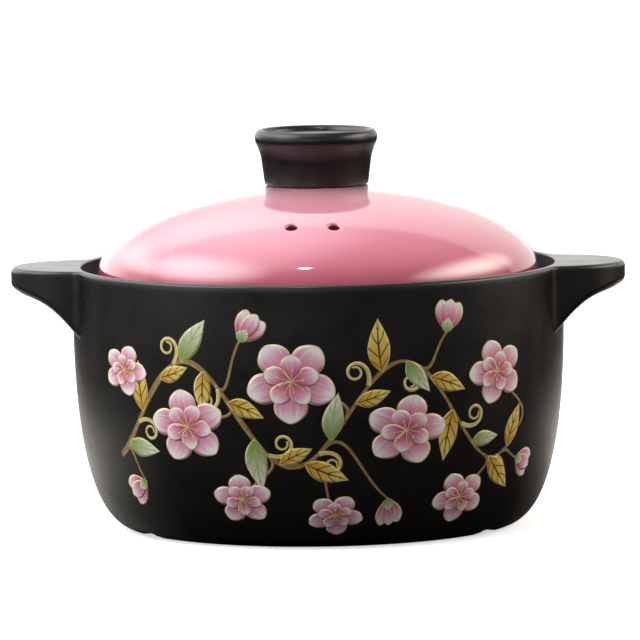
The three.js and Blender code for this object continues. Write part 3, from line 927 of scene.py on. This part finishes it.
stem = vine_at(np.linspace(-VINE_REACH, VINE_REACH, 240))
knots = 1 + 0.18 * np.sin(np.linspace(0, 60, len(stem)))
add_line(lines, stem, np.linspace(*STEM_WIDTHS, len(stem)) * knots, VINE_LIFT)
for number, across in enumerate(np.linspace(-100, 104, 18)):
    add_leaf(number, across)
for number, across in enumerate(np.linspace(-92, 96, 9)):
    add_curl(number, across)
print(len(gold_leaves), "gold leaves", len(green_leaves), "green leaves")

# %% Blossoms and buds
PETALS, PETAL_WIDTH, INNER_RING = 5, 0.36, 0.62
STAMENS, STAMEN_WIDTH, STAMEN_HEAD = 9, 0.45, 1.5
# Each blossom: across, up, size, turn in degrees, foreshortening, and where its stalk leaves the vine
BLOSSOMS = (
    (-62, -64, 40, 10, 0.85, -40),
    (-10, -42, 42, 35, 0.92, 14),
    (44, -66, 40, 60, 0.82, 66),
    (94, -42, 34, 20, 0.88, 112),
    (-100, -40, 30, 50, 0.78, -88),
    (-36, -98, 30, 5, 0.80, -22),
    (10, -106, 28, 42, 0.75, -4),
    (76, -100, 31, 28, 0.82, 88),
)
# Each bud: across, up, length, turn in degrees, and where its stalk leaves the vine
BUDS = (
    (-92, -92, 15, 120, -104),
    (-34, -24, 15, -35, -46),
    (64, -22, 15, -10, 50),
    (112, -84, 14, -110, 100),
    (36, -98, 14, 190, 4),
)


def add_petal(petals, centre, length, width, degrees, tilt, lift):
    """One petal with a gold edge under it. Its lift rises from one side to the other, so that petals of a
    ring lie one over the next all the way round."""
    for kept, grow, low in ((golds, OUTLINE_MM, 0.008), (petals, 0.0, 0.0)):
        flat, uv = blade(length, width, widest=0.62, point=0.6, grow=grow)
        tuck = 0.03 * uv[..., 0]
        kept.append((turned(flat, (0, 0), degrees) * (1, tilt) + centre, lift - low + tuck, uv))


def add_blossom(petals, centre, size, degrees, tilt):
    """Two rings of petals, the inner one smaller and half a step round, then stamens with round heads."""
    for share, ring_lift, start in ((1.0, BLOSSOM_LIFT, 0), (INNER_RING, BLOSSOM_LIFT + 0.05, 180 / PETALS)):
        for petal in range(PETALS):
            angle = degrees + start + petal * 360 / PETALS
            add_petal(petals, centre, share * size / 2, share * size * PETAL_WIDTH, angle, tilt, ring_lift)
    for stamen in range(STAMENS):
        angle = degrees + stamen * 360 / STAMENS
        reach = size * (0.13 + 0.03 * (stamen % 2))
        line = np.stack([np.zeros(8), np.linspace(0, reach, 8)], 1)
        head, head_uv = blade(STAMEN_HEAD, STAMEN_HEAD, widest=0.5, point=0.5, rows=10, columns=7)
        flat, uv = ribbon(line, STAMEN_WIDTH)
        for shape, shape_uv in ((flat, uv), (head + (0, reach - 0.7), head_uv)):
            golds.append((turned(shape, (0, 0), angle) * (1, tilt) + centre, BLOSSOM_LIFT + 0.1, shape_uv))


def add_stalk(start, centre):
    """A stalk that leaves the vine along its heading and bends round to the flower."""
    place = vine_at(start)
    heading = np.radians(vine_heading(start) + 90)
    pull = np.hypot(*(centre - place)) * 0.45 * np.array([np.cos(heading), np.sin(heading)])
    path = bezier(place, place + pull, (place + centre) / 2, centre, 30)
    add_line(lines, path, np.linspace(*STALK_WIDTHS, len(path)), VINE_LIFT)


def add_bud(petals, centre, length, degrees):
    """A bud: two petals behind, one in front, and a green cup at their foot."""
    for lean, lift in ((-20, 0.0), (20, 0.02), (0, 0.05)):
        add_petal(petals, centre, length, length * 0.5, degrees + lean, 1.0, BLOSSOM_LIFT + lift)
    flat, uv = blade(length * 0.45, length * 0.4, widest=0.4, point=0.8)
    green_leaves.append((turned(flat, centre, degrees), BLOSSOM_LIFT + 0.1, uv))


petals = []
for across, up, size, degrees, tilt, start in BLOSSOMS:
    centre = np.array([across, up], float)
    add_blossom(petals, centre, size, degrees, tilt)
    add_stalk(start, centre)
for across, up, length, degrees, start in BUDS:
    centre = np.array([across, up], float)
    add_bud(petals, centre, length, degrees)
    add_stalk(start, centre)

film_piece("print_lines", lines, umber)
film_piece("print_gold", golds, pale_gold)
film_piece("print_gold_leaves", gold_leaves, gold_leaf)
film_piece("print_green_leaves", green_leaves, green_leaf)
film_piece("print_petals", petals, rose)

# %% [markdown]
# Camera
#
# A product photographer stands well back with a long lens, so that the pot's sides stay upright. The
# camera here is three and a half metres away and looks down by six degrees. It is turned a degree or two
# to one side, and tilted by less than a degree, as the photograph is.

# %% Camera
CAMERA_DISTANCE, CAMERA_HEIGHT = 3500.0, 443.5
CAMERA_TURN, CAMERA_ROLL = np.radians(1.5), np.radians(0.8)
AIM = np.array([0.7, 0.0, 96.0])
MM_PER_PIXEL, IMAGE_PIXELS, SENSOR_MM = 0.4694, 640, 36.0

eye = np.array(
    [CAMERA_DISTANCE * np.sin(CAMERA_TURN), -CAMERA_DISTANCE * np.cos(CAMERA_TURN), CAMERA_HEIGHT]
)
away = Vector(eye - AIM)
look = (-away).to_track_quat("-Z", "Y").to_matrix().to_4x4()
camera_data = bpy.data.cameras.new("camera")
camera_data.sensor_width = SENSOR_MM
camera_data.lens = SENSOR_MM * away.length / (MM_PER_PIXEL * IMAGE_PIXELS)
camera = bpy.data.objects.new("camera", camera_data)
camera.matrix_world = Matrix.Translation(Vector(eye) * MM) @ look @ Matrix.Rotation(-CAMERA_ROLL, 4, "Z")
bpy.context.scene.collection.objects.link(camera)
bpy.context.scene.camera = camera
print("lens", round(camera_data.lens, 1), "mm")

# %% [markdown]
# Studio
#
# The pot stands on white paper in a wide room: a white wall behind it, softboxes at both sides, and dim
# behind the photographer. That contrast draws the pot: pale edges where the black glaze mirrors the white,
# deep black and clear pink where it mirrors the dark.

# %% White paper floor
FLOOR_SIDE = 12.0
PAPER_GLOW = 0.58


def make_floor():
    """A square of white paper, level with the foot."""
    sides = np.linspace(-FLOOR_SIDE / 2, FLOOR_SIDE / 2, 9) / MM
    x, y = np.meshgrid(sides, sides)
    return mesh_object("paper_floor", np.dstack([x, y, 0 * x]), grid_faces(*x.shape), white_paper())


def white_paper():
    """Matt paper: plain white to the camera, with the pot's shadow. In reflections it is white in a band
    under and behind the pot and dark further out; the white ends just in front of the pot on a slanted edge
    that reaches further forward on the left, which is painted light from the left and painted shade in front
    of and to the right of the pot."""
    material, add, shader = new_material("white_studio_paper")
    place = add("TexCoord", output="Object")
    x, y, _ = add("SeparateXYZ", {"Vector": place}).node.outputs
    aside = add("Math", {0: x}, operation="ABSOLUTE")
    roll = add("MapRange", {"Value": aside, "From Min": 0.42, "From Max": 0.16})
    # Painted light and shade for reflections: the white reaches further forward on the left, where light
    # falls, and stops short in front of and to the right of the pot, in painted shade.
    left_light_slant = add("Math", {0: x, 1: -0.27, 2: y}, operation="MULTIPLY_ADD")
    lit_behind_share = add("MapRange", {"Value": left_light_slant, "From Min": -0.06, "From Max": 0.15})
    painted_floor_light = add("Math", {0: roll, 1: lit_behind_share}, operation="MULTIPLY")
    paper = add("ValToRGB", {"Fac": painted_floor_light}, ((0.0, "#35322f"), (1.0, "#e9e5dd")))
    camera_ray = add("LightPath", output="Is Camera Ray")
    colour = add("Mix", {"Factor": camera_ray, "A": paper, "B": linear("#f3f3f3")}, data_type="RGBA")
    glow = add("MapRange", {"Value": camera_ray, "To Max": PAPER_GLOW})
    set_inputs(shader, {"Base Color": colour, "Roughness": 0.9, "Specular IOR Level": 0.0})
    set_inputs(shader, {"Emission Strength": glow, "Emission Color": linear("#ffffff")})
    return material


floor = make_floor()

# %% The room
ROOM_GREY, WALL_WHITE = "#a0a0a0", "#fffdf8"
WALL_RIGHT, WALL_TOP = 1.5, 1.4


def room_light():
    """The world: a white wall behind the pot, which ends at the right and at the top, in a dim room. A
    direction meets the wall, one unit away, at x / y across and z / y up."""
    world = bpy.data.worlds.new("studio_room")
    world.use_nodes = True
    add = partial(add_node, world.node_tree)
    toward = add("TexCoord", output="Generated")
    x, y, z = add("SeparateXYZ", {"Vector": toward}).node.outputs
    across = add("Math", {0: x, 1: y}, operation="DIVIDE")
    up = add("Math", {0: z, 1: y}, operation="DIVIDE")
    edges = (
        {"Value": across, "From Min": WALL_RIGHT + 0.05, "From Max": WALL_RIGHT - 0.05},
        {"Value": up, "From Min": WALL_TOP + 0.1, "From Max": WALL_TOP - 0.1},
        {"Value": y, "From Min": 0.0, "From Max": 0.05},
    )
    right, top, behind = (add("MapRange", edge) for edge in edges)
    corner = add("Math", {0: right, 1: top}, operation="MULTIPLY")
    wall = add("Math", {0: corner, 1: behind}, operation="MULTIPLY")
    lit = {"Factor": wall, "A": linear(ROOM_GREY), "B": linear(WALL_WHITE)}
    room = add("Mix", lit, data_type="RGBA")
    camera_ray = add("LightPath", output="Is Camera Ray")
    colour = add("Mix", {"Factor": camera_ray, "A": room, "B": linear("#ffffff")}, data_type="RGBA")
    set_inputs(world.node_tree.nodes["Background"], {"Color": colour})
    return world


bpy.context.scene.world = room_light()
print("world", bpy.context.scene.world.name)

# %% Softboxes
POT_MIDDLE = Vector((0.0, 0.0, 0.12))


def softbox(name, azimuth, elevation, distance, size, radiance, flat=0.1, colour="#ffffff"):
    """A square lamp turned to the pot, bright over the flat share of its size and fading to its edge. The
    azimuth is in degrees from straight behind the pot to the right. A plain lamp of one watt per square
    metre has a radiance of 1 / pi."""
    lamp = bpy.data.lights.new(name, "AREA")
    lamp.shape = "RECTANGLE"
    lamp.size, lamp.size_y = size
    lamp.energy = np.pi * size[0] * size[1]
    lamp.color = linear(colour)[:3]
    lamp.use_nodes = True
    add = partial(add_node, lamp.node_tree)
    spot = add("NewGeometry", output="Parametric")
    middle = add("VectorMath", {0: spot, 1: (0.5, 0.5, 0.0)}, operation="DISTANCE")
    fade = {"Value": middle, "From Min": 0.5, "From Max": flat, "To Max": radiance}
    level = add("MapRange", fade, interpolation_type="SMOOTHSTEP")
    set_inputs(lamp.node_tree.nodes["Emission"], {"Strength": level})
    turn, rise = np.radians([azimuth, elevation])
    toward = Vector((np.sin(turn) * np.cos(rise), np.cos(turn) * np.cos(rise), np.sin(rise)))
    facing = toward.to_track_quat("Z", "Y").to_matrix().to_4x4()
    box = bpy.data.objects.new(name, lamp)
    box.matrix_world = Matrix.Translation(POT_MIDDLE + toward * distance) @ facing
    bpy.context.scene.collection.objects.link(box)
    print(name, "at", [round(c, 2) for c in box.matrix_world.translation])


softbox("left_softbox", -106, 38, 1.6, (2.9, 2.0), 3.8, 0.05)
softbox("left_window", -74, 58, 1.8, (5.0, 3.8), 1.3)
softbox("left_back_softbox", -56, 25, 2.0, (2.2, 1.0), 1.2)
softbox("left_low_softbox", -118, 4, 2.0, (2.8, 0.9), 0.9, 0.2)
softbox("right_softbox", 89, 26, 1.0, (1.8, 0.7), 5.6, 0.0, "#fff4e6")
softbox("right_low_softbox", 84, 2, 2.0, (2.2, 0.7), 0.8, 0.2, "#fff4e6")
softbox("back_softbox", -22, 10, 2.2, (4.4, 1.2), 0.7, 0.2)
softbox("front_softbox", -165, 10, 4.0, (4.0, 1.1), 1.6)
softbox("slit_lamp", -172, 58, 1.5, (0.15, 0.07), 160.0, 0.2)

bpy.context.scene.view_settings.view_transform = "Standard"
